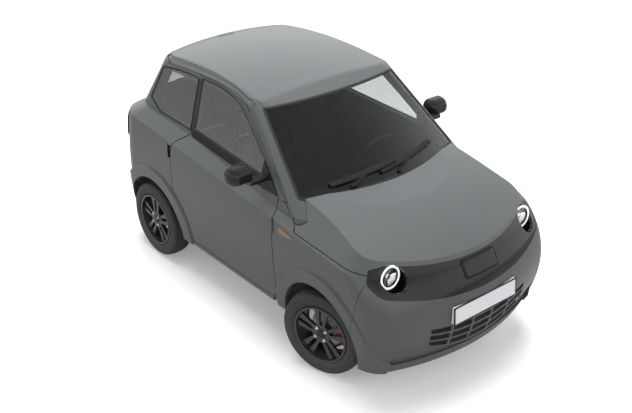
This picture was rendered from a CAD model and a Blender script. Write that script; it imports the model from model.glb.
# %% [markdown]
# # A two-seat microcar, dressed for the light
# The solid model gives every panel, wheel and lamp its exact place. This notebook adds what a solid
# model lacks: paint with depth, rubber with tread, glass that lets light through, seals, lamps and seats.
# The frame comes in first and is never moved. Each later cell makes one kind of piece and says why it is
# made that way.

# %% Load the frame
import bpy
import numpy as np
from mathutils import Euler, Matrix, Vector
from mathutils.bvhtree import BVHTree


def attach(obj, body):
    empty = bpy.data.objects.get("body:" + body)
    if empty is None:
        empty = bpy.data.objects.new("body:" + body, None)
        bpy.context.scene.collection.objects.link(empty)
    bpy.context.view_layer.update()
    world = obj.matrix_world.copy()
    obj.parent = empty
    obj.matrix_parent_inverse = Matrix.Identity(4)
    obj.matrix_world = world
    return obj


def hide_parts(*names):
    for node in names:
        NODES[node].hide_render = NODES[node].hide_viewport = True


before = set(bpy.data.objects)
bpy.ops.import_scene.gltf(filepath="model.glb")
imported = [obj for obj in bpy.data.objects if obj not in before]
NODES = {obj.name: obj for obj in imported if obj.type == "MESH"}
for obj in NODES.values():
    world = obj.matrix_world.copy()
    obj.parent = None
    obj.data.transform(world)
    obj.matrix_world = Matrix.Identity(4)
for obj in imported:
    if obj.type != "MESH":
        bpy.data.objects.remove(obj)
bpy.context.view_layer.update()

# %% [markdown]
# ## Camera
# A long lens far away keeps the car's proportions calm. The camera stands high at the front right corner and
# looks down at the middle of the body, so the roof, the bonnet and one side all show.
# The camera comes first, because every later choice of detail depends on how close it stands.

# %% Place the camera
CAMERA_AT = Vector((4.7674, -3.9466, 3.8971))
CAMERA_LOOKS_AT = Vector((-0.0465, -0.0326, 0.5488))
CAMERA_LENS_MM = 59.09
CAMERA_ROLL_DEG = -0.361

camera_data = bpy.data.cameras.new("camera")
camera_data.lens = CAMERA_LENS_MM
camera_data.sensor_width = 36.0
camera_data.clip_end = 100.0
camera = bpy.data.objects.new("camera", camera_data)
bpy.context.scene.collection.objects.link(camera)
facing = (CAMERA_LOOKS_AT - CAMERA_AT).to_track_quat("-Z", "Y")
camera.rotation_mode = "QUATERNION"
camera.rotation_quaternion = facing @ Euler((0, 0, np.radians(CAMERA_ROLL_DEG))).to_quaternion()
camera.location = CAMERA_AT
bpy.context.scene.camera = camera
bpy.context.scene.view_settings.view_transform = "Standard"
print("camera is", round((CAMERA_LOOKS_AT - CAMERA_AT).length, 2), "m from the car")

# %% [markdown]
# ## Floor and light
# A studio for cars is a white room with a big soft light overhead. The floor is a diffuse sheet that keeps the
# car's shadow. Where the camera sees it, it is pale and a little of its own light lifts it to white. The car
# itself sees a darker floor, as if black cloths lay beside it, so its sides stay darker than its top.
# The world is white at the horizon and dark overhead, so the roof mirrors the pale wall and the windscreen
# mirrors the dark ceiling. Two broad area lamps light the surfaces but are not mirrored, so no hard edge of a
# lamp shows in the paint or the glass.

# %% Make the floor
def new_material(name):
    """An empty node material and its node and link lists."""
    material = bpy.data.materials.new(name)
    material.use_nodes = True
    tree = material.node_tree
    tree.nodes.clear()
    return material, tree.nodes, tree.links


def add_node(nodes, kind, constants=(), **settings):
    """A shader node with its settings, and then its sockets' constants as (socket, value) pairs."""
    node = nodes.new("ShaderNode" + kind)
    for label, value in settings.items():
        setattr(node, label, value)
    for socket, value in constants:
        node.inputs[socket].default_value = value
    return node


def wire(links, *pairs):
    """Link each output to its input."""
    for output, target in pairs:
        links.new(output, target)


FLOOR_DARK, FLOOR_PALE = (0.34, 0.34, 0.34, 1), (0.80, 0.80, 0.80, 1)
FLOOR_GLOW, FLOOR_GLOW_MIRRORED = 0.20, 0.16
floor_material, nodes, links = new_material("studio_floor")
floor_out = add_node(nodes, "OutputMaterial")
floor_sum = add_node(nodes, "AddShader")
floor_matte = add_node(nodes, "BsdfDiffuse")
floor_glow = add_node(nodes, "Emission")
floor_path = add_node(nodes, "LightPath")
floor_seen = add_node(nodes, "Math", operation="MAXIMUM")
floor_level = add_node(nodes, "Math", [(1, FLOOR_GLOW)], operation="MULTIPLY")
floor_mirrored = add_node(nodes, "Math", [(1, FLOOR_GLOW_MIRRORED)], operation="MULTIPLY_ADD")
floor_tone = add_node(nodes, "Mix", data_type="RGBA")
floor_tone.inputs["A"].default_value = FLOOR_DARK
floor_tone.inputs["B"].default_value = FLOOR_PALE
wire(links,
     (floor_path.outputs["Is Camera Ray"], floor_seen.inputs[0]),
     (floor_path.outputs["Is Transmission Ray"], floor_seen.inputs[1]),
     (floor_seen.outputs[0], floor_level.inputs[0]),
     (floor_path.outputs["Is Glossy Ray"], floor_mirrored.inputs[0]),
     (floor_level.outputs[0], floor_mirrored.inputs[2]),
     (floor_mirrored.outputs[0], floor_glow.inputs["Strength"]),
     (floor_seen.outputs[0], floor_tone.inputs["Factor"]),
     (floor_tone.outputs["Result"], floor_matte.inputs["Color"]),
     (floor_matte.outputs[0], floor_sum.inputs[0]),
     (floor_glow.outputs[0], floor_sum.inputs[1]),
     (floor_sum.outputs[0], floor_out.inputs["Surface"]))

FLOOR_HALF = 30.0
floor_mesh = bpy.data.meshes.new("studio_floor")
floor_mesh.from_pydata([(-FLOOR_HALF, -FLOOR_HALF, 0), (FLOOR_HALF, -FLOOR_HALF, 0),
                        (FLOOR_HALF, FLOOR_HALF, 0), (-FLOOR_HALF, FLOOR_HALF, 0)], [], [(0, 1, 2, 3)])
floor_mesh.materials.append(floor_material)
floor = bpy.data.objects.new("studio_floor", floor_mesh)
bpy.context.scene.collection.objects.link(floor)
print("floor", 2 * FLOOR_HALF, "m square")

# %% Light the room
world = bpy.data.worlds.new("studio_room")
bpy.context.scene.world = world
world.use_nodes = True
nodes, links = world.node_tree.nodes, world.node_tree.links
nodes.clear()
ROOM_WALL, ROOM_CEILING = 1.25, 0.42
WALL_ENDS, CEILING_STARTS = 0.36, 0.86
room_out = add_node(nodes, "OutputWorld")
room_soft = add_node(nodes, "Background", [("Color", (1, 1, 1, 1))])
room_where = add_node(nodes, "TexCoord")
room_split = add_node(nodes, "SeparateXYZ")
room_fall = add_node(nodes, "MapRange",
                     [("From Min", WALL_ENDS), ("From Max", CEILING_STARTS), ("To Min", ROOM_WALL),
                      ("To Max", ROOM_CEILING)], interpolation_type="SMOOTHSTEP")
room_path = add_node(nodes, "LightPath")
room_pick = add_node(nodes, "Mix", [("B", 1.0)], data_type="FLOAT")
wire(links,
     (room_where.outputs["Generated"], room_split.inputs[0]),
     (room_split.outputs["Z"], room_fall.inputs["Value"]),
     (room_fall.outputs[0], room_pick.inputs["A"]),
     (room_path.outputs["Is Camera Ray"], room_pick.inputs["Factor"]),
     (room_pick.outputs["Result"], room_soft.inputs["Strength"]),
     (room_soft.outputs[0], room_out.inputs["Surface"]))

# columns: name, place, looks at, width, height, watts
SOFT_LAMPS = (
    ("lamp_overhead", (-0.6, 0.6, 5.2), (0.0, 0.0, 0.4), 4.6, 4.0, 560),
    ("lamp_front_fill", (5.5, -1.5, 3.6), (0.2, 0.0, 0.6), 3.0, 2.0, 50),
)
for name, place, target, width, height, watts in SOFT_LAMPS:
    lamp_data = bpy.data.lights.new(name, "AREA")
    lamp_data.shape = "RECTANGLE"
    lamp_data.size = width
    lamp_data.size_y = height
    lamp_data.energy = watts
    lamp = bpy.data.objects.new(name, lamp_data)
    lamp.location = place
    lamp.visible_glossy = False
    lamp.visible_transmission = False
    lamp.rotation_mode = "QUATERNION"
    lamp.rotation_quaternion = (Vector(target) - Vector(place)).to_track_quat("-Z", "Y")
    bpy.context.scene.collection.objects.link(lamp)
    print(name, width, "x", height, "m at", place)

# %% [markdown]
# ## Shared effects
# Several finishes share the same small effects: an orange-peel or moulded grain that only bends the light,
# a cloudy change of tone over a few hundred millimetres, and road dust that thickens towards the ground.
# Each is a node group with named inputs, built once here and placed in each material with its own numbers.
# They read Object coordinates, so nothing slides when a door or a wheel turns.

# %% Build the shared effects
def new_group(name, inputs, outputs):
    """A shader node group with named sockets. inputs: (name, kind, value); outputs: (name, kind)."""
    group = bpy.data.node_groups.new(name, "ShaderNodeTree")
    for label, kind, value in inputs:
        socket = group.interface.new_socket(name=label, in_out="INPUT", socket_type=kind)
        if value is not None:
            socket.default_value = value
    for label, kind in outputs:
        group.interface.new_socket(name=label, in_out="OUTPUT", socket_type=kind)
    entry, leave = group.nodes.new("NodeGroupInput"), group.nodes.new("NodeGroupOutput")
    return group, group.nodes, group.links, entry, leave


def cloud(nodes, links, place, scale, detail):
    """A noise texture on the given coordinates."""
    noise = nodes.new("ShaderNodeTexNoise")
    noise.inputs["Scale"].default_value = scale
    noise.inputs["Detail"].default_value = detail
    links.new(place, noise.inputs["Vector"])
    return noise


TONE, nodes, links, entry, leave = new_group(
    "cloudy_tone",
    [("Vector", "NodeSocketVector", None), ("Color", "NodeSocketColor", (0.5, 0.5, 0.5, 1)),
     ("Amount", "NodeSocketFloat", 0.1), ("Scale", "NodeSocketFloat", 3.0)],
    [("Color", "NodeSocketColor"), ("Mask", "NodeSocketFloat")])
tone_noise = cloud(nodes, links, entry.outputs["Vector"], 3.0, 3.0)
links.new(entry.outputs["Scale"], tone_noise.inputs["Scale"])
tone_swing = add_node(nodes, "MapRange", [("From Min", 0.3), ("From Max", 0.7)])
tone_low = add_node(nodes, "Math", [(0, 1.0)], operation="SUBTRACT")
tone_high = add_node(nodes, "Math", [(0, 1.0)], operation="ADD")
tone_scale = add_node(nodes, "VectorMath", operation="SCALE")
wire(links,
     (entry.outputs["Amount"], tone_low.inputs[1]),
     (entry.outputs["Amount"], tone_high.inputs[1]),
     (tone_noise.outputs["Fac"], tone_swing.inputs["Value"]),
     (tone_low.outputs[0], tone_swing.inputs["To Min"]),
     (tone_high.outputs[0], tone_swing.inputs["To Max"]),
     (entry.outputs["Color"], tone_scale.inputs[0]),
     (tone_swing.outputs[0], tone_scale.inputs["Scale"]),
     (tone_scale.outputs[0], leave.inputs["Color"]),
     (tone_noise.outputs["Fac"], leave.inputs["Mask"]))

GRAIN, nodes, links, entry, leave = new_group(
    "moulded_grain",
    [("Vector", "NodeSocketVector", None), ("Scale", "NodeSocketFloat", 400.0),
     ("Pebble", "NodeSocketFloat", 0.5)],
    [("Height", "NodeSocketFloat")])
grain_noise = cloud(nodes, links, entry.outputs["Vector"], 400.0, 2.0)
grain_cells = add_node(nodes, "TexVoronoi", feature="SMOOTH_F1")
grain_mix = add_node(nodes, "Mix", data_type="FLOAT")
wire(links,
     (entry.outputs["Vector"], grain_cells.inputs["Vector"]),
     (entry.outputs["Scale"], grain_noise.inputs["Scale"]),
     (entry.outputs["Scale"], grain_cells.inputs["Scale"]),
     (entry.outputs["Pebble"], grain_mix.inputs["Factor"]),
     (grain_noise.outputs["Fac"], grain_mix.inputs["A"]),
     (grain_cells.outputs["Distance"], grain_mix.inputs["B"]),
     (grain_mix.outputs["Result"], leave.inputs["Height"]))

DUST, nodes, links, entry, leave = new_group(
    "road_dust",
    [("Vector", "NodeSocketVector", None), ("Color", "NodeSocketColor", (0.5, 0.5, 0.5, 1)),
     ("Amount", "NodeSocketFloat", 0.2), ("Top", "NodeSocketFloat", 0.5)],
    [("Color", "NodeSocketColor"), ("Mask", "NodeSocketFloat")])
dust_split = add_node(nodes, "SeparateXYZ")
dust_fall = add_node(nodes, "MapRange", [("From Min", 0.0), ("To Min", 1.0), ("To Max", 0.0)])
dust_noise = cloud(nodes, links, entry.outputs["Vector"], 14.0, 5.0)
dust_break = add_node(nodes, "Math", operation="MULTIPLY")
dust_amount = add_node(nodes, "Math", operation="MULTIPLY")
dust_mix = add_node(nodes, "Mix", data_type="RGBA")
dust_mix.inputs["B"].default_value = (0.22, 0.21, 0.19, 1)
wire(links,
     (entry.outputs["Vector"], dust_split.inputs[0]),
     (dust_split.outputs["Z"], dust_fall.inputs["Value"]),
     (entry.outputs["Top"], dust_fall.inputs["From Max"]),
     (dust_fall.outputs[0], dust_break.inputs[0]),
     (dust_noise.outputs["Fac"], dust_break.inputs[1]),
     (dust_break.outputs[0], dust_amount.inputs[0]),
     (entry.outputs["Amount"], dust_amount.inputs[1]),
     (dust_amount.outputs[0], dust_mix.inputs["Factor"]),
     (entry.outputs["Color"], dust_mix.inputs["A"]),
     (dust_mix.outputs["Result"], leave.inputs["Color"]),
     (dust_amount.outputs[0], leave.inputs["Mask"]))
print("shared effects:", TONE.name, GRAIN.name, DUST.name)

# %% [markdown]
# ## Finishes
# One function strings the effects together in the order that a real surface has them: the base colour, its
# cloudy tone, the dust on top, and the grain that bends the light. What is constant over a surface, such as
# its coat or its metal, is set on the shader itself. The table below it holds the numbers of every finish.

# %% Define a finish
BUMP_DEEP = 0.001


def finish(name, color, rough, tone=0.05, tone_scale=3.0, dust=0.0, dust_top=0.5,
           grain=400.0, pebble=0.4, bump=0.05, rough_swing=0.1, **constants):
    """A material: base colour x cloudy tone, then dust by height, with a grain as bump and in the roughness."""
    material, nodes, links = new_material(name)
    out = add_node(nodes, "OutputMaterial")
    shader = add_node(nodes, "BsdfPrincipled")
    place = add_node(nodes, "TexCoord").outputs["Object"]
    tone_node = add_node(nodes, "Group", node_tree=TONE)
    tone_node.inputs["Color"].default_value = (*color, 1)
    tone_node.inputs["Amount"].default_value = tone
    tone_node.inputs["Scale"].default_value = tone_scale
    dust_node = add_node(nodes, "Group", [("Amount", dust), ("Top", dust_top)], node_tree=DUST)
    rough_range = add_node(nodes, "MapRange", [("To Min", max(rough - rough_swing, 0.02)),
                                               ("To Max", min(rough + rough_swing, 1.0))])
    rough_sum = add_node(nodes, "Math", operation="ADD", use_clamp=True)
    grain_node = add_node(nodes, "Group", [("Scale", grain), ("Pebble", pebble)], node_tree=GRAIN)
    bump_node = add_node(nodes, "Bump", [("Strength", bump), ("Distance", BUMP_DEEP)])
    wire(links,
         (shader.outputs[0], out.inputs["Surface"]),
         (place, tone_node.inputs["Vector"]),
         (place, dust_node.inputs["Vector"]),
         (tone_node.outputs["Color"], dust_node.inputs["Color"]),
         (dust_node.outputs["Color"], shader.inputs["Base Color"]),
         (tone_node.outputs["Mask"], rough_range.inputs["Value"]),
         (rough_range.outputs[0], rough_sum.inputs[0]),
         (dust_node.outputs["Mask"], rough_sum.inputs[1]),
         (rough_sum.outputs[0], shader.inputs["Roughness"]),
         (place, grain_node.inputs["Vector"]),
         (grain_node.outputs["Height"], bump_node.inputs["Height"]),
         (bump_node.outputs["Normal"], shader.inputs["Normal"]))
    for label, value in constants.items():
        shader.inputs[label.replace("_", " ")].default_value = value
    return material


# %% Mix the finishes
# columns: colour, roughness, then what differs from the plain finish
FINISHES = {
    "paint": ((0.060, 0.065, 0.067), 0.42, dict(tone=0.03, tone_scale=1.2, dust=0.35, dust_top=0.45, grain=160.0,
              pebble=0.0, bump=0.02, rough_swing=0.04, Coat_Weight=0.4, Coat_Roughness=0.28,
              Specular_IOR_Level=0.4)),
    "gloss_black": ((0.010, 0.010, 0.011), 0.16, dict(tone=0.10, grain=120.0, pebble=0.0, bump=0.015,
                    rough_swing=0.05, Coat_Weight=0.2, Coat_Roughness=0.08, Specular_IOR_Level=0.3)),
    "black_plastic": ((0.018, 0.018, 0.019), 0.55, dict(tone=0.12, tone_scale=9.0, dust=0.3, dust_top=0.4,
                      grain=700.0, pebble=0.8, bump=0.35)),
    "rubber": ((0.017, 0.017, 0.0175), 0.62, dict(tone=0.15, tone_scale=12.0, dust=0.35, dust_top=0.5,
               grain=500.0, pebble=0.6, bump=0.25)),
    "wheel_black": ((0.012, 0.012, 0.013), 0.32, dict(tone=0.10, tone_scale=8.0, dust=0.25, dust_top=0.5,
                    grain=300.0, pebble=0.1, bump=0.04, Coat_Weight=0.4, Coat_Roughness=0.15)),
    "steel": ((0.46, 0.46, 0.47), 0.34, dict(tone=0.10, tone_scale=30.0, dust=0.2, dust_top=0.5, grain=900.0,
              pebble=0.0, bump=0.10, Metallic=1.0)),
    "chrome": ((0.75, 0.75, 0.76), 0.12, dict(tone=0.03, grain=300.0, pebble=0.0, bump=0.01,
               rough_swing=0.03, Metallic=1.0)),
    "cast": ((0.07, 0.07, 0.075), 0.62, dict(tone=0.2, tone_scale=20.0, dust=0.3, dust_top=0.5, grain=260.0,
             pebble=0.5, bump=0.5, Metallic=0.6)),
    "red_cast": ((0.42, 0.015, 0.012), 0.38, dict(tone=0.08, tone_scale=20.0, dust=0.15, dust_top=0.5,
                 grain=260.0, pebble=0.3, bump=0.15, Coat_Weight=0.3)),
    "frame_paint": ((0.022, 0.022, 0.024), 0.5, dict(tone=0.15, tone_scale=8.0, dust=0.5, dust_top=0.45,
                    grain=240.0, pebble=0.3, bump=0.15)),
    "amber": ((0.16, 0.090, 0.016), 0.25, dict(tone=0.06, grain=90.0, pebble=0.0, bump=0.05,
              Coat_Weight=0.8)),
    "red_lens": ((0.045, 0.006, 0.006), 0.18, dict(tone=0.12, tone_scale=20.0, grain=60.0, pebble=0.0, bump=0.05,
                 Coat_Weight=1.0)),
    "plate": ((0.70, 0.71, 0.73), 0.35, dict(tone=0.03, grain=200.0, pebble=0.2, bump=0.03)),
    "lamp_white": ((0.80, 0.80, 0.82), 0.25, dict(tone=0.03, grain=200.0, pebble=0.1, bump=0.02,
                   Coat_Weight=0.5)),
    "seal": ((0.012, 0.012, 0.012), 0.65, dict(tone=0.1, grain=600.0, pebble=0.5, bump=0.15)),
    "trim_black": ((0.009, 0.009, 0.0095), 0.7, dict(tone=0.12, tone_scale=9.0, grain=600.0, pebble=0.7,
                   bump=0.10, Specular_IOR_Level=0.3)),
    "cloth": ((0.016, 0.016, 0.018), 0.9, dict(tone=0.12, tone_scale=14.0, grain=1100.0, pebble=0.3, bump=0.15,
              Specular_IOR_Level=0.12)),
    "mirror_glass": ((0.80, 0.81, 0.82), 0.04, dict(tone=0.02, grain=60.0, pebble=0.0, bump=0.005,
                     rough_swing=0.02, Metallic=1.0)),
    "carpet": ((0.020, 0.020, 0.022), 0.95, dict(tone=0.2, tone_scale=20.0, grain=900.0, pebble=0.6, bump=0.9,
               Specular_IOR_Level=0.1)),
}
MATERIALS = {name: finish(name, color, rough, **rest) for name, (color, rough, rest) in FINISHES.items()}
print("finishes:", ", ".join(MATERIALS))

# %% [markdown]
# ## Glass
# Car glass is a clear shell with a faint tint, so it is a shader that lets light through and mirrors the room
# by its angle. The tint is on the base colour and works at each face the light crosses. The windows at the
# side and the back are darker than the windscreen. A very long, faint wave in the surface keeps the mirror
# from being perfect.

# %% Mix the glass
def glass(name, tint, wave, ior=1.45):
    """Clear shell: tinted transmission with a slow surface wave as bump; a higher ior mirrors more."""
    material, nodes, links = new_material(name)
    out = add_node(nodes, "OutputMaterial")
    shader = add_node(nodes, "BsdfPrincipled")
    shader.inputs["Transmission Weight"].default_value = 1.0
    shader.inputs["Roughness"].default_value = 0.0
    shader.inputs["IOR"].default_value = ior
    place = add_node(nodes, "TexCoord").outputs["Object"]
    tone_node = add_node(nodes, "Group", [("Color", (*tint, 1)), ("Amount", 0.02), ("Scale", 2.0)],
                         node_tree=TONE)
    wave_noise = cloud(nodes, links, place, 4.0, 1.0)
    wave_bump = add_node(nodes, "Bump", [("Strength", wave), ("Distance", BUMP_DEEP)])
    wire(links,
         (shader.outputs[0], out.inputs["Surface"]),
         (place, tone_node.inputs["Vector"]),
         (tone_node.outputs["Color"], shader.inputs["Base Color"]),
         (wave_noise.outputs["Fac"], wave_bump.inputs["Height"]),
         (wave_bump.outputs["Normal"], shader.inputs["Normal"]))
    return material


MATERIALS["screen_glass"] = glass("screen_glass", (0.78, 0.82, 0.81), 0.05)
MATERIALS["side_glass"] = glass("side_glass", (0.52, 0.54, 0.54), 0.05, ior=1.95)
MATERIALS["lamp_glass"] = glass("lamp_glass", (0.96, 0.97, 0.98), 0.02)
print("glass:", [name for name in MATERIALS if name.endswith("glass")])

# %% [markdown]
# ## Give each solid its finish
# The solids that stay visible take their finish here, by the name of the node. A node's mesh is not touched.

# %% Paint the solids
WEARS = {
    "paint": ("body_sides", "bonnet", "door_left", "door_right", "front_bumper", "front_wings", "rear_bumper",
              "roof", "tailgate"),
    "screen_glass": ("windscreen",),
    "side_glass": ("door_glass_left", "door_glass_right", "quarter_glass", "tailgate_glass"),
    "lamp_glass": ("headlamp_lenses",),
    "black_plastic": ("arch_liners", "lower_grille"),
    "trim_black": ("cowl", "dashboard", "steering_column", "wipers"),
    "gloss_black": ("front_band", "headlamps", "mirror_left", "mirror_right"),
    "steel": ("brake_disc_left", "brake_disc_right", "drive_shafts", "steering_rack"),
    "red_cast": ("calliper_left", "calliper_right"),
    "cast": ("engine", "knuckle_left", "knuckle_right", "steering_gear"),
    "frame_paint": ("chassis", "dampers", "front_arms", "rear_axle", "seat_frames"),
    "carpet": ("floor_pan",),
    "plate": ("number_plate",),
    "amber": ("side_repeaters",),
    "red_lens": ("tail_lamps",),
    "rubber": ("tyre_front_left", "tyre_front_right", "tyre_rear_left", "tyre_rear_right", "steering_wheel"),
    "wheel_black": ("rim_front_left", "rim_front_right", "rim_rear_left", "rim_rear_right"),
    "seal": ("seat_cushions", "seat_backs"),
}
for material_name, node_names in WEARS.items():
    for node_name in node_names:
        for material_slot in NODES[node_name].material_slots:
            material_slot.material = MATERIALS[material_name]
print("dressed", sum(len(names) for names in WEARS.values()), "of", len(NODES), "nodes")

# %% [markdown]
# ## Ways of making a piece
# A piece of trim is a plain mesh whose points are worked out in one go as an array: rings of points, joined
# ring to ring and closed at both ends. Its finish is one of the table above, and it rides on the body that
# carries it. A dark skin that lies on the inside of a panel starts instead from a copy of that panel's mesh:
# the faces that look inwards are kept, lifted off by two or three millimetres and made solid by a modifier.

# %% Join rings of points
def place_piece(name, points, faces, material, rides, smooth=True):
    """Make a mesh object from points (n, 3) and faces, with one finish, that moves with one body."""
    mesh = bpy.data.meshes.new(name)
    mesh.from_pydata(np.asarray(points, dtype=float).tolist(), [], [list(map(int, face)) for face in faces])
    mesh.materials.append(MATERIALS[material])
    mesh.validate()
    mesh.polygons.foreach_set("use_smooth", np.full(len(mesh.polygons), smooth))
    piece = bpy.data.objects.new(name, mesh)
    bpy.context.scene.collection.objects.link(piece)
    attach(piece, rides)
    return piece


def ring_faces(rings, count, start=0, closed=False):
    """Quads between rings of count points; the two ends are capped unless the rings close on themselves."""
    row, col = np.meshgrid(np.arange(rings if closed else rings - 1), np.arange(count), indexing="ij")
    after = (row + 1) % rings
    beside = (col + 1) % count
    quads = np.stack([row * count + col, row * count + beside, after * count + beside, after * count + col],
                     axis=-1)
    faces = [list(start + quad) for quad in quads.reshape(-1, 4)]
    if not closed:
        faces.append([start + i for i in range(count)][::-1])
        faces.append([start + (rings - 1) * count + i for i in range(count)])
    return faces


def merged_copy(node_name):
    """Points (n, 3) and triangles (m, 3) of a solid node in the shared frame, equal points joined."""
    node = NODES[node_name]
    mesh = node.data
    mesh.calc_loop_triangles()
    points = np.empty(len(mesh.vertices) * 3)
    mesh.vertices.foreach_get("co", points)
    points = points.reshape(-1, 3)
    matrix = np.array(node.matrix_world)
    points = points @ matrix[:3, :3].T + matrix[:3, 3]
    triangles = np.empty(len(mesh.loop_triangles) * 3, dtype=int)
    mesh.loop_triangles.foreach_get("vertices", triangles)
    triangles = triangles.reshape(-1, 3)
    joined, back = np.unique(np.round(points, 5), axis=0, return_inverse=True)
    triangles = back.reshape(-1)[triangles]
    whole = (triangles[:, 0] != triangles[:, 1]) & (triangles[:, 1] != triangles[:, 2]) & (
        triangles[:, 2] != triangles[:, 0])
    return joined, triangles[whole]


def face_normals(points, triangles):
    """Unit normals (m, 3) and middles (m, 3) of triangles."""
    a, b, c = (points[triangles[:, k]] for k in range(3))
    normal = np.cross(b - a, c - a)
    normal = normal / np.maximum(np.linalg.norm(normal, axis=1, keepdims=True), 1e-12)
    return normal, (a + b + c) / 3


probe_points, probe_triangles = merged_copy("roof")
print("roof as a merged mesh:", len(probe_points), "points,", len(probe_triangles), "triangles")

# %% [markdown]
# ## Tyres
# The solid tyre is smooth, so a treaded one takes its place. Its section is a closed loop of points that is
# turned round the axle. Four grooves run round the tread, and cross grooves cut the shoulders into blocks: they
# lower the radius wherever a saw wave along the turn is low. The cross grooves lean, and both shoulders are
# out of step, as on a road tyre. The section never passes the solid tyre's radius or width.

# %% Turn the tyres
TYRE_R, BEAD_R = 0.278, 0.1875
FRONT_TURN = np.radians(16.0)
FRONT_X, REAR_X, KINGPIN_Y, WHEEL_Y = 0.798, -1.026, 0.612, 0.660
STUB_X, STUB_Y = 0.048 * np.sin(FRONT_TURN), 0.048 * np.cos(FRONT_TURN)
# columns: corner name, wheel middle (x, y), steering turn, side (+1 left)
WHEELS = (
    ("front_left", (FRONT_X - STUB_X, KINGPIN_Y + STUB_Y), FRONT_TURN, 1),
    ("front_right", (FRONT_X + STUB_X, -KINGPIN_Y - STUB_Y), FRONT_TURN, -1),
    ("rear_left", (REAR_X, WHEEL_Y), 0.0, 1),
    ("rear_right", (REAR_X, -WHEEL_Y), 0.0, -1),
)


def wheel_points(local, middle, turn):
    """Wheel-space points (..., 3) as (x, out along the axle, z about the hub) moved to a wheel's place."""
    x, y, z = local[..., 0], local[..., 1], local[..., 2]
    return np.stack([middle[0] + x * np.cos(turn) - y * np.sin(turn),
                     middle[1] + x * np.sin(turn) + y * np.cos(turn), TYRE_R + z], axis=-1)


def tyre_section():
    """Section points (n, 2) of radius and offset: one sidewall, the crowned tread and the other sidewall."""
    wall = np.array([[BEAD_R, 0.060], [BEAD_R + 0.004, 0.066], [0.204, 0.0742], [0.214, 0.0764], [0.2185, 0.0768],
                     [0.2225, 0.0755], [0.238, 0.0748], [0.250, 0.0730], [0.2585, 0.0702], [0.2655, 0.0640]])
    across = np.linspace(0.060, -0.060, 41)
    crown = 0.2775 - 0.0085 * (np.abs(across) / 0.060) ** 2.6
    tread = np.stack([crown, across], axis=1)
    return np.concatenate([wall, tread, wall[::-1] * [1, -1]])


def tread_depth(offset, angle):
    """Groove depth in metres. Ring grooves at set offsets; cross grooves where a leaning saw wave is low."""
    rings = np.zeros(np.broadcast(offset, angle).shape)
    for at in (-0.040, -0.0135, 0.0135, 0.040):
        rings = np.maximum(rings, 0.0065 * (np.abs(offset - at) < 0.0026))
    step = (angle * 64 / (2 * np.pi) + offset * 22 + 0.5 * (offset > 0)) % 1.0
    blocks = 0.0055 * (step < 0.24) * (np.abs(offset) > 0.0425)
    ribs = 0.0035 * (step < 0.13) * (np.abs(offset) < 0.0375) * (np.abs(offset) > 0.016)
    return np.maximum(np.maximum(rings, blocks), ribs)


section = tyre_section()
turns = 512
angle = np.linspace(0, 2 * np.pi, turns, endpoint=False)[:, None]
radius, offset = section[None, :, 0], section[None, :, 1]
on_tread = radius > 0.262
radius = radius - tread_depth(offset, angle) * on_tread
tyre_local = np.stack([radius * np.cos(angle), offset + 0 * angle, radius * np.sin(angle)], axis=-1)
for corner, middle, turn, side in WHEELS:
    tyre_piece = place_piece(f"treaded_tyre_{corner}", wheel_points(tyre_local, middle, turn).reshape(-1, 3),
                             ring_faces(turns, len(section), closed=True), "rubber", f"wheel_{corner}")
    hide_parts(f"tyre_{corner}")
print("tyre:", turns, "turns of", len(section), "points")

# %% [markdown]
# ## Wheel bolts and caps
# Four hexagonal bolts with a washer each hold a wheel, and a plain domed cap closes its hub. They are short
# lathe shapes, six-sided for the bolts and round for the rest, set at the solid rim's bolt seats.

# %% Add bolts and caps
HUB_FACE = 0.054


def lathe(profile, sides, middle, twist=0.0):
    """Points and faces of a stack of rings (radius, out) round an axis parallel to the axle at (x, z)."""
    turn = np.linspace(0, 2 * np.pi, sides, endpoint=False) + twist
    rings = [np.stack([middle[0] + r * np.cos(turn), np.full(sides, out), middle[1] + r * np.sin(turn)], axis=1)
             for r, out in profile]
    return np.concatenate(rings), ring_faces(len(profile), sides)


def join(shapes):
    """Several (points, faces) as one."""
    points, faces, start = [], [], 0
    for shape_points, shape_faces in shapes:
        points.append(shape_points)
        faces += [[start + i for i in face] for face in shape_faces]
        start += len(shape_points)
    return np.concatenate(points), faces


bolt_profile = ((0.0098, HUB_FACE + 0.0045), (0.0098, HUB_FACE + 0.0062), (0.0078, HUB_FACE + 0.0066))
head_profile = ((0.0078, HUB_FACE + 0.0060), (0.0078, HUB_FACE + 0.0125), (0.0064, HUB_FACE + 0.0140),
                (0.0020, HUB_FACE + 0.0138))
cap_profile = ((0.0282, HUB_FACE + 0.001), (0.0282, HUB_FACE + 0.0045), (0.0262, HUB_FACE + 0.0062),
               (0.0190, HUB_FACE + 0.0078), (0.0100, HUB_FACE + 0.0086), (0.0020, HUB_FACE + 0.0088))
for corner, middle, turn, side in WHEELS:
    bolts = []
    for spot in np.radians([36, 126, 216, 306]):
        at = (0.044 * np.cos(spot), -side * 0.044 * np.sin(spot))
        bolts += [lathe(bolt_profile, 20, at), lathe(head_profile, 6, at, spot)]
    for name, (points, faces), material, smooth in (
            ("wheel_bolts", join(bolts), "chrome", False),
            ("wheel_cap", lathe(cap_profile, 40, (0.0, 0.0)), "gloss_black", True)):
        local = points * [1, side, 1]
        faces = faces if side < 0 else [face[::-1] for face in faces]
        place_piece(f"{name}_{corner}", wheel_points(local, middle, turn), faces, material, f"wheel_{corner}",
                    smooth)
print("bolts and caps on", len(WHEELS), "wheels")

# %% [markdown]
# ## Seals round the glass
# A black rubber edge lies where each pane meets the paint. The pane's own solid gives the line: its outer face
# is found by spreading from its largest triangle across every edge that hardly bends, and the border of that
# face is walked once round. A small profile then runs along the border, turned to the pane's normal.

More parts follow.
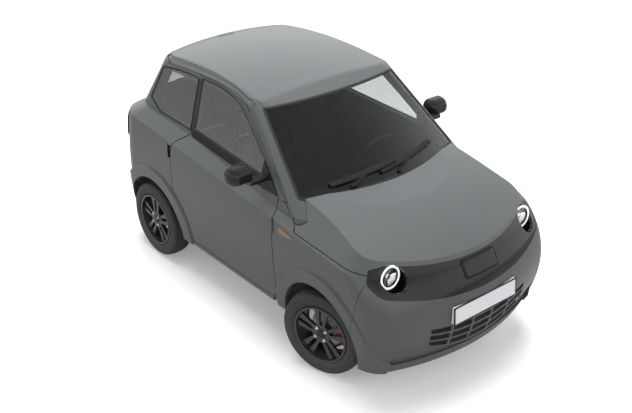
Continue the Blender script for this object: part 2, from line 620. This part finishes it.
# %% Find the border of a pane
def outer_face(points, triangles):
    """The triangles that join the largest outward one without a bend of more than about 30 degrees."""
    normal, middle = face_normals(points, triangles)
    a, b, c = (points[triangles[:, k]] for k in range(3))
    area = np.linalg.norm(np.cross(b - a, c - a), axis=1)
    outward = middle - np.array([-0.3, 0.0, 0.9])
    seed = int(np.argmax(area * (np.einsum("ij,ij->i", normal, outward) > 0)))
    beside = {}
    for index, triangle in enumerate(triangles):
        for k in range(3):
            beside.setdefault(tuple(sorted((triangle[k], triangle[(k + 1) % 3]))), []).append(index)
    chosen, queue = {seed}, [seed]
    while queue:
        index = queue.pop()
        for k in range(3):
            for other in beside[tuple(sorted((triangles[index][k], triangles[index][(k + 1) % 3])))]:
                if other not in chosen and normal[index] @ normal[other] > 0.86:
                    chosen.add(other)
                    queue.append(other)
    return np.array(sorted(chosen)), normal, beside


def border_loops(points, triangles, step):
    """Border loop of the outer face as (points, normals), resampled at about step metres."""
    chosen, normal, beside = outer_face(points, triangles)
    inside = set(chosen.tolist())
    after = {}
    for index in chosen:
        for k in range(3):
            start, end = triangles[index][k], triangles[index][(k + 1) % 3]
            if sum(other in inside for other in beside[tuple(sorted((start, end)))]) == 1:
                after[start] = end
    first = next(iter(after))
    walk, at = [first], after[first]
    while at != first and at in after and len(walk) < len(after) + 1:
        walk.append(at)
        at = after[at]
    at_vertex = np.zeros_like(points)
    for k in range(3):
        np.add.at(at_vertex, triangles[chosen][:, k], normal[chosen])
    loop, facing = points[walk], at_vertex[walk]
    facing = facing / np.linalg.norm(facing, axis=1, keepdims=True)
    closed = np.concatenate([loop, loop[:1]])
    length = np.concatenate([[0], np.cumsum(np.linalg.norm(np.diff(closed, axis=0), axis=1))])
    count = max(int(length[-1] / step), 12)
    along = np.linspace(0, length[-1], count, endpoint=False)
    facing = np.concatenate([facing, facing[:1]])
    even = np.stack([np.interp(along, length, closed[:, k]) for k in range(3)], axis=1)
    even_facing = np.stack([np.interp(along, length, facing[:, k]) for k in range(3)], axis=1)
    return even, even_facing / np.linalg.norm(even_facing, axis=1, keepdims=True)


def edge_strip(loop, facing, profile):
    """A profile of (out across the pane's edge, up off the pane) run round a closed loop."""
    along = np.roll(loop, -1, axis=0) - np.roll(loop, 1, axis=0)
    along = along / np.linalg.norm(along, axis=1, keepdims=True)
    out = np.cross(along, facing)
    out = out / np.linalg.norm(out, axis=1, keepdims=True)
    across = np.array(profile)[None, :, 0, None] * out[:, None, :]
    lift = np.array(profile)[None, :, 1, None] * facing[:, None, :]
    return (loop[:, None, :] + across + lift).reshape(-1, 3), ring_faces(len(loop), len(profile), closed=True)


WIDE_SEAL = ((-0.017, -0.0004), (-0.0165, 0.0008), (-0.006, 0.0014), (-0.0012, 0.0030), (0.0004, 0.0038),
             (0.0030, 0.0039), (0.0036, 0.0030), (0.0004, 0.0026), (-0.0004, -0.0004))
THIN_SEAL = ((-0.0085, -0.0004), (-0.0080, 0.0012), (-0.0040, 0.0020), (-0.0010, 0.0032), (0.0006, 0.0040),
             (0.0040, 0.0041), (0.0046, 0.0031), (0.0004, 0.0026), (-0.0004, -0.0004))
SEAL_STEP = 0.006
# columns: solid pane, profile, body it rides on
SEALED = (
    ("windscreen", WIDE_SEAL, "body"),
    ("door_glass_left", THIN_SEAL, "door_left"),
    ("door_glass_right", THIN_SEAL, "door_right"),
    ("tailgate_glass", WIDE_SEAL, "tailgate"),
)
for node_name, profile, rides in SEALED:
    loop, facing = border_loops(*merged_copy(node_name), SEAL_STEP)
    points, faces = edge_strip(loop, facing, profile)
    place_piece(f"{node_name}_seal", points, faces, "seal", rides)
quarter_points, quarter_triangles = merged_copy("quarter_glass")
for side, label in ((1, "left"), (-1, "right")):
    own = quarter_triangles[quarter_points[quarter_triangles[:, 0], 1] * side > 0]
    loop, facing = border_loops(quarter_points, own, SEAL_STEP)
    points, faces = edge_strip(loop, facing, THIN_SEAL)
    place_piece(f"quarter_glass_seal_{label}", points, faces, "seal", "body")
print("seals round", len(SEALED) + 2, "panes")

# %% [markdown]
# ## The dark lining of the cabin
# Inside, every panel is covered: a headliner under the roof and dark moulded trim on the doors, pillars, sides
# and tailgate. Each lining starts from a copy of its panel. The faces that look at the middle of the cabin are
# kept, moved off by a small lift and given a thickness, so the lining follows each panel's shape and opens
# with its door. Openings stay open, because a window's own edge faces look along the wall and are left out.

# %% Line the panels
CABIN_MIDDLE = np.array([-0.42, 0.0, 0.95])


def lining(name, node_name, rides, lift, material, box_low=(-9, -9, 0.30), box_high=(9, 9, 9)):
    """Inward faces of a panel within a box, lifted off and made a thin solid sheet."""
    points, triangles = merged_copy(node_name)
    normal, middle = face_normals(points, triangles)
    towards = CABIN_MIDDLE - middle
    towards = towards / np.linalg.norm(towards, axis=1, keepdims=True)
    inward = np.einsum("ij,ij->i", normal, towards) > 0.30
    inside = np.all((middle > np.array(box_low)) & (middle < np.array(box_high)), axis=1)
    kept = triangles[inward & inside]
    used, again = np.unique(kept, return_inverse=True)
    facing = np.zeros_like(points)
    for k in range(3):
        np.add.at(facing, kept[:, k], normal[inward & inside])
    facing = facing[used] / np.maximum(np.linalg.norm(facing[used], axis=1, keepdims=True), 1e-9)
    piece = place_piece(name, points[used] + facing * lift, again.reshape(-1, 3), material, rides)
    solid = piece.modifiers.new("thickness", "SOLIDIFY")
    solid.thickness = 0.0012
    solid.offset = -1.0
    return piece


# columns: name, panel, body, lift, finish
LININGS = (
    ("headliner", "roof", "body", 0.0030, "trim_black"),
    ("side_lining", "body_sides", "body", 0.0030, "trim_black"),
    ("door_lining_left", "door_left", "door_left", 0.0025, "trim_black"),
    ("door_lining_right", "door_right", "door_right", 0.0025, "trim_black"),
    ("tailgate_lining", "tailgate", "tailgate", 0.0025, "trim_black"),
)
for name, node_name, rides, lift, material in LININGS:
    lined = lining(name, node_name, rides, lift, material)
    print(name, len(lined.data.polygons), "faces")

# %% [markdown]
# ## Trim laid on the paint
# A strip that lies on a panel is found by dropping rays onto the solid: a small grid of rays gives points and
# normals, and the strip is that grid lifted off the paint with its own thickness below. Black waist trim runs
# under the side windows, a black film covers the pillar between the two panes, and the bare plinth in the
# front band stands where a badge would be.

# %% Lay strips on the panels
SURFACES = {}


def drop(node_name, starts, direction):
    """Points (n, 3) and normals (n, 3) where rays from starts meet a solid node."""
    if node_name not in SURFACES:
        points, triangles = merged_copy(node_name)
        SURFACES[node_name] = BVHTree.FromPolygons(points.tolist(), triangles.tolist())
    hits, normals = [], []
    for start in starts:
        place, normal, _, _ = SURFACES[node_name].ray_cast(Vector(start), Vector(direction))
        hits.append(place)
        normals.append(normal)
    if any(place is None for place in hits):
        raise ValueError(f"a ray missed {node_name}")
    return np.array(hits), np.array(normals)


def laid_strip(grid, facing, lift, thick):
    """A grid (rows, cols, 3) lifted along its normals and closed by a copy thick below it."""
    top = grid + facing * lift
    below = (grid + facing * (lift - thick))[:, ::-1]
    rings = np.concatenate([top, below], axis=1)
    return rings.reshape(-1, 3), ring_faces(grid.shape[0], 2 * grid.shape[1])


def side_strip(name, node_name, rides, side, ends, low, high, lift, thick, material, rows=24, cols=5):
    """A strip on one side of the car between two lines low(x) and high(x), from ends[0] to ends[1] along it."""
    along = np.linspace(*ends, rows)[:, None]
    share = np.linspace(0.0, 1.0, cols)[None, :]
    z = low(along) + (high(along) - low(along)) * share
    x = along + 0 * share
    starts = np.stack([x, np.full_like(x, 2.0 * side), z], axis=-1).reshape(-1, 3)
    hits, normals = drop(node_name, starts, (0, -side, 0))
    grid, facing = hits.reshape(rows, cols, 3), normals.reshape(rows, cols, 3)
    points, faces = laid_strip(grid, facing, lift, thick)
    faces = faces if side > 0 else [face[::-1] for face in faces]
    return place_piece(name, points, faces, material, rides)


def waist_low(x):
    """Upper edge of the painted shoulder under the side windows."""
    return 1.0290 - 0.06 * x


def glass_foot(x):
    """Lower edge of the door glass."""
    return 1.1100 - 0.0424 * (x + 0.570)


for side, label in ((1, "left"), (-1, "right")):
    side_strip(f"waist_trim_{label}", f"door_{label}", f"door_{label}", side, (-0.588, 0.205), waist_low,
               glass_foot, 0.0028, 0.0034, "trim_black", rows=40)
    side_strip(f"door_pillar_film_{label}", f"door_{label}", f"door_{label}", side, (-0.5910, -0.5725),
               lambda x: 1.112 + 0 * x, lambda x: 1.446 + 0 * x, 0.0007, 0.0010, "gloss_black", rows=3, cols=16)
    side_strip(f"body_pillar_film_{label}", "body_sides", "body", side, (-0.6135, -0.6015),
               lambda x: 1.090 + 0 * x, lambda x: 1.440 + 0 * x, 0.0007, 0.0010, "trim_black", rows=3, cols=16)
print("waist trim and pillar films on both sides")

# %% Set the plinth
PLINTH_HALF, PLINTH_LOW, PLINTH_HIGH = 0.138, 0.722, 0.822


def rounded_grid(half_wide, low, high, radius, rows, cols):
    """A grid (rows, cols, 2) of (y, z) over a rectangle whose outer rows pull in to round its corners."""
    z = np.linspace(low, high, rows)[:, None]
    near = np.minimum(z - low, high - z)
    pull = np.where(near < radius, radius - np.sqrt(np.maximum(radius**2 - (radius - near) ** 2, 0.0)), 0.0)
    y = np.linspace(-1.0, 1.0, cols)[None, :] * (half_wide - pull)
    return np.stack([y, z + 0 * y], axis=-1)


def front_patch(name, node_name, grid_yz, lift, thick, material):
    """A patch laid on the front of a solid node, from a grid of (y, z)."""
    rows, cols = grid_yz.shape[:2]
    starts = np.concatenate([np.full((rows, cols, 1), 2.0), grid_yz], axis=-1).reshape(-1, 3)
    hits, normals = drop(node_name, starts, (-1, 0, 0))
    points, faces = laid_strip(hits.reshape(rows, cols, 3), normals.reshape(rows, cols, 3), lift, thick)
    return place_piece(name, points, faces, material, "body")


front_patch("badge_plinth", "front_band", rounded_grid(PLINTH_HALF, PLINTH_LOW, PLINTH_HIGH, 0.018, 22, 24),
            0.0030, 0.0040, "trim_black")
front_patch("badge_plinth_face", "front_band",
            rounded_grid(PLINTH_HALF - 0.012, PLINTH_LOW + 0.012, PLINTH_HIGH - 0.012, 0.012, 16, 22),
            0.0048, 0.0030, "gloss_black")
print("plinth", 2 * PLINTH_HALF, "m wide")

# %% [markdown]
# ## Headlamps
# Each lamp is a chromed bowl behind a clear cover, with a bright white daylight ring round its rim. The bowl
# holds a small bright lens behind a grid of thin ribs, three upright and three level. The round pieces are
# lathe shapes on the lamp's own axis, which leans up a little. The ring glows faintly, as it does in daylight.

# %% Fill the headlamps
LAMP_AT = np.array([1.236, 0.547, 0.809])
LAMP_AXIS = np.array([1.0, 0.0, 0.09]) / np.sqrt(1.0 + 0.09**2)
LAMP_UP = np.array([-LAMP_AXIS[2], 0.0, LAMP_AXIS[0]])
LAMP_SIDEWAYS = np.array([0.0, 1.0, 0.0])
glow = MATERIALS["lamp_white"].copy()
glow.name = "ring_light"
glow.node_tree.nodes["Principled BSDF"].inputs["Emission Color"].default_value = (1.0, 1.0, 1.0, 1)
glow.node_tree.nodes["Principled BSDF"].inputs["Emission Strength"].default_value = 0.55
MATERIALS["ring_light"] = glow


def lamp_lathe(profile, sides, side, squash=1.0):
    """Rings (radius, out along the lamp's axis) round a lamp's axis, closed where the radius is tiny."""
    turn = np.linspace(0, 2 * np.pi, sides, endpoint=False)
    rings = []
    for radius, out in profile:
        rings.append(LAMP_AT + out * LAMP_AXIS + radius * np.cos(turn)[:, None] * LAMP_SIDEWAYS
                     + radius * squash * np.sin(turn)[:, None] * LAMP_UP)
    points = np.concatenate(rings) * [1, side, 1]
    faces = ring_faces(len(profile), sides)
    return points, (faces if side < 0 else [face[::-1] for face in faces])


RING = ((0.0592, 0.0005), (0.0592, 0.0018), (0.0620, 0.0030), (0.0700, 0.0030), (0.0728, 0.0018), (0.0728, 0.0004))
BOWL = ((0.0598, -0.0190), (0.0598, -0.0182), (0.0520, -0.0245), (0.0380, -0.0272), (0.0180, -0.0280),
        (0.0020, -0.0282), (0.0020, -0.0295), (0.0598, -0.0292))
BRIGHT_EYE = ((0.0200, -0.0280), (0.0200, -0.0215), (0.0170, -0.0190), (0.0090, -0.0176), (0.0010, -0.0172))
RIB_APART, RIB_REACH = 0.022, 0.052
for side, label in ((1, "left"), (-1, "right")):
    for name, profile, material, sides in (("daylight_ring", RING, "ring_light", 72),
                                           ("lamp_bowl", BOWL, "chrome", 64),
                                           ("lamp_eye", BRIGHT_EYE, "mirror_glass", 32)):
        points, faces = lamp_lathe(profile, sides, side)
        if name == "daylight_ring":
            faces = [face for face in faces if len(face) == 4]
            last = len(profile) - 1
            closing = [[last * sides + i, last * sides + (i + 1) % sides, (i + 1) % sides, i]
                       for i in range(sides)]
            faces += closing if side < 0 else [face[::-1] for face in closing]
        place_piece(f"{name}_{label}", points, faces, material, "body")
    bars = []
    for row in (-RIB_APART, 0.0, RIB_APART):
        for turned in (0, 1):
            along, across = (LAMP_SIDEWAYS, LAMP_UP) if turned else (LAMP_UP, LAMP_SIDEWAYS)
            reach = np.sqrt(RIB_REACH**2 - row**2)
            corners = [LAMP_AT + across * (row + a * 0.0014) + along * (b * reach) + LAMP_AXIS * c
                       for b in (-1, 1) for a, c in ((-1, -0.026), (1, -0.026), (1, -0.0215), (-1, -0.0215))]
            bars.append((np.array(corners) * [1, side, 1], ring_faces(2, 4)))
    points, faces = join(bars)
    place_piece(f"lamp_ribs_{label}", points, faces, "chrome", "body", smooth=False)
print("headlamps filled")

# %% [markdown]
# ## Plate frames
# Each blank plate sits in a slim black frame. The frame is a rectangle of small bars that meet at the corners,
# leaning back with the plate.

# %% Frame the plates
PLATE_HALF, FRAME_BAR = 0.2600, 0.007
plate_points = merged_copy("number_plate")[0]
for end, label in ((1, "front"), (-1, "rear")):
    own = plate_points[plate_points[:, 0] * end > 0]
    low, high = own[:, 2].min(), own[:, 2].max()
    top_x = (own[own[:, 2] > high - 0.004, 0] * end).max()
    foot_x = (own[own[:, 2] < low + 0.004, 0] * end).max()
    lean = np.array([(top_x - foot_x) * end, 0.0, high - low])
    up = lean / np.linalg.norm(lean)
    across = np.array([0.0, float(end), 0.0])
    out = np.cross(across, up)
    middle = np.array([(top_x + foot_x) / 2 * end, 0.0, (low + high) / 2])
    half_high = np.linalg.norm(lean) / 2
    rings = []
    for a, b in ((-1, -1), (1, -1), (1, 1), (-1, 1)):
        for wide, off in ((-FRAME_BAR, 0.0002), (-FRAME_BAR * 0.7, 0.0022), (0.0012, 0.0022), (0.0012, -0.0060)):
            rings.append(middle + across * a * (PLATE_HALF + wide) + up * b * (half_high + wide) + out * off)
    place_piece(f"plate_frame_{label}", np.array(rings), ring_faces(4, 4, closed=True), "black_plastic", "body",
                smooth=False)
print("plate frames front and rear")

# %% [markdown]
# ## Seats
# Two bucket seats show through the glass. A seat is upholstered foam: a crowned closed form that is full in the
# middle, pulled in along its sewn seams, with raised bolsters at its sides. The form is worked out as rings of a
# rounded box, whose half width and height swell and shrink by smooth formulas, and the seams are narrow grooves
# across and along it. A subdivision surface rounds it off. Each takes the place of its solid cushion.

# %% Upholster the seats
SEAT_MIDDLE_Y = 0.290


def padded_box(centre, forward, up, half, rings=56, around=64, corner=0.32, seams_at=(), channels=(), bolster=0.0,
               dish=0.0):
    """A closed cushion (rings across the car, points around): a rounded box with seams, bolsters and a dish.

    The section at share t across is a superellipse: x = a sgn(cos v) |cos v|^corner, likewise z with sin v, and its
    size shrinks near both ends as (1 - |t|^6)^(1/3). Seams are grooves of 5 mm where t meets seams_at, or where
    the upper side's share along it meets channels.
    """
    forward, up = np.array(forward, dtype=float), np.array(up, dtype=float)
    forward, up = forward / np.linalg.norm(forward), up / np.linalg.norm(up)
    across = np.cross(up, forward)
    t = np.sin(np.linspace(-np.pi / 2 * 0.985, np.pi / 2 * 0.985, rings))[:, None]
    v = np.linspace(0, 2 * np.pi, around, endpoint=False)[None, :]
    end = (1 - np.abs(t) ** 6) ** (1 / 3)
    a = half[0] * (0.90 + 0.10 * end) * (0.55 + 0.45 * end)
    c = half[2] * (0.30 + 0.70 * end)
    along = np.sign(np.cos(v)) * np.abs(np.cos(v)) ** corner
    rise = np.sign(np.sin(v)) * np.abs(np.sin(v)) ** corner
    top = np.clip(rise, 0, 1) ** 2
    crown = 0.010 * (1 - t**2) * (1 - along**2)
    groove = np.zeros(np.broadcast(t, v).shape)
    for seam in seams_at:
        groove = np.maximum(groove, np.exp(-(((t - seam) / 0.022) ** 2)) * top)
    for channel in channels:
        near = np.exp(-(((along - channel) / 0.030) ** 2)) * (np.abs(t) < 0.62)
        groove = np.maximum(groove, near * top)
    side = np.exp(-(((np.abs(t) - 0.80) / 0.16) ** 2)) * top
    lift = crown + bolster * side - dish * top * (1 - np.abs(t)) - 0.005 * groove
    x = a * along + 0 * t
    z = c * rise + lift
    y = half[1] * t + 0 * v
    points = (np.array(centre) + x[..., None] * forward + y[..., None] * across + z[..., None] * up)
    return points.reshape(-1, 3), ring_faces(rings, around)


CUSHION_UP = (-0.08, 0.0, 1.0)
BACK_UP = (1.0, 0.0, 0.17)
# columns: piece, solid it stands for, centre, forward, up, half sizes, seams, channels, bolster, dish
PADS = (
    ("seat_cushion", "seat_cushions", (-0.205, 0.0, 0.446), (1.0, 0.0, 0.08), CUSHION_UP, (0.245, 0.205, 0.096),
     (-0.56, 0.56), (-0.45, 0.05, 0.55), 0.018, 0.012),
    ("seat_back", "seat_backs", (-0.452, 0.0, 0.778), (-0.17, 0.0, 1.0), BACK_UP, (0.212, 0.200, 0.046),
     (-0.56, 0.56), (-0.5, 0.0, 0.5), 0.020, 0.008),
    ("headrest", "seat_backs", (-0.503, 0.0, 1.098), (-0.17, 0.0, 1.0), BACK_UP, (0.076, 0.122, 0.036),
     (), (), 0.0, 0.0),
)
stands_for = {"seat_cushions": [], "seat_backs": []}
for name, node_name, centre, forward, up, half, seams, channels, bolster, dish in PADS:
    for side, label in ((1, "left"), (-1, "right")):
        place = np.array(centre) + [0.0, side * SEAT_MIDDLE_Y, 0.0]
        points, faces = padded_box(place, forward, up, half, seams_at=seams, channels=channels, bolster=bolster,
                                   dish=dish)
        pad = place_piece(f"{name}_{label}", points, faces, "cloth", "body")
        round_off = pad.modifiers.new("round_off", "SUBSURF")
        round_off.levels = 1
        round_off.render_levels = 1
        stands_for[node_name].append(pad)
for node_name, pads in stands_for.items():
    for pad in pads:
        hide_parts(node_name)

# The headrests stand on two steel posts each.
POST_LENGTH, POST_R, POST_APART, POST_SIDES = 0.095, 0.006, 0.055, 16
posts = []
for side in (1, -1):
    for off in (-POST_APART, POST_APART):
        foot = np.array([-0.489, side * SEAT_MIDDLE_Y + off, 0.975])
        head = foot + np.array([-0.17, 0.0, 1.0]) * POST_LENGTH
        turn = np.linspace(0, 2 * np.pi, POST_SIDES, endpoint=False)[:, None]
        ring = POST_R * (np.cos(turn) * np.array([1.0, 0.0, 0.17]) + np.sin(turn) * np.array([0.0, 1.0, 0.0]))
        posts.append((np.concatenate([foot + ring, head + ring]),
                      [face[::-1] for face in ring_faces(2, POST_SIDES)]))
points, faces = join(posts)
place_piece("headrest_posts", points, faces, "chrome", "body")
print("seats:", len(PADS) * 2, "pads")

# %% [markdown]
# ## Mirror glass and wheel valves
# Small pieces finish what the solids carry: a silvered pane in the back of each door mirror and a rubber valve
# on each wheel.

# %% Set the mirror glass
MIRROR_Y, MIRROR_Z = 0.822, 1.134
MIRROR_HALF_WIDE, MIRROR_HALF_TALL, MIRROR_CORNER = 0.066, 0.040, 0.45
MIRROR_SIDES = 48
for side, label in ((1, "left"), (-1, "right")):
    points, triangles = merged_copy(f"mirror_{label}")
    back_x = points[np.abs(points[:, 1]) > 0.76][:, 0].min()
    turn = np.linspace(0, 2 * np.pi, MIRROR_SIDES, endpoint=False)[:, None]
    rings = []
    for reach, off in ((1.0, -0.0002), (1.0, -0.0010), (0.96, -0.0018), (0.5, -0.0022), (0.02, -0.0024)):
        wide = MIRROR_HALF_WIDE * reach * np.sign(np.cos(turn)) * np.abs(np.cos(turn)) ** MIRROR_CORNER
        tall = MIRROR_HALF_TALL * reach * np.sign(np.sin(turn)) * np.abs(np.sin(turn)) ** MIRROR_CORNER
        rings.append(np.concatenate([np.full_like(wide, back_x + off), side * (MIRROR_Y + wide),
                                     MIRROR_Z + tall], axis=1))
    faces = ring_faces(len(rings), MIRROR_SIDES)
    place_piece(f"mirror_glass_{label}", np.concatenate(rings),
                [face[::-1] for face in faces] if side > 0 else faces, "mirror_glass", f"door_{label}")
print("mirror glass on both doors")

# %% Add the wheel valves
VALVE_AT, VALVE_SPOT, VALVE_SIDES = 0.150, np.radians(72), 14
VALVE_STEM = ((0.0045, 0.030), (0.0045, 0.040), (0.0032, 0.042), (0.0032, 0.050), (0.0010, 0.0505))
for corner, middle, turn, side in WHEELS:
    ring = np.linspace(0, 2 * np.pi, VALVE_SIDES, endpoint=False)
    stem = [np.stack([VALVE_AT * np.cos(VALVE_SPOT) + r * np.cos(ring), np.full(VALVE_SIDES, out),
                      VALVE_AT * np.sin(VALVE_SPOT) + r * np.sin(ring)], axis=1)
            for r, out in VALVE_STEM]
    points = np.concatenate(stem) * [1, side, 1]
    faces = ring_faces(len(stem), VALVE_SIDES)
    faces = faces if side < 0 else [face[::-1] for face in faces]
    place_piece(f"wheel_valve_{corner}", wheel_points(points, middle, turn), faces, "rubber", f"wheel_{corner}")
print("valves on", len(WHEELS), "wheels")
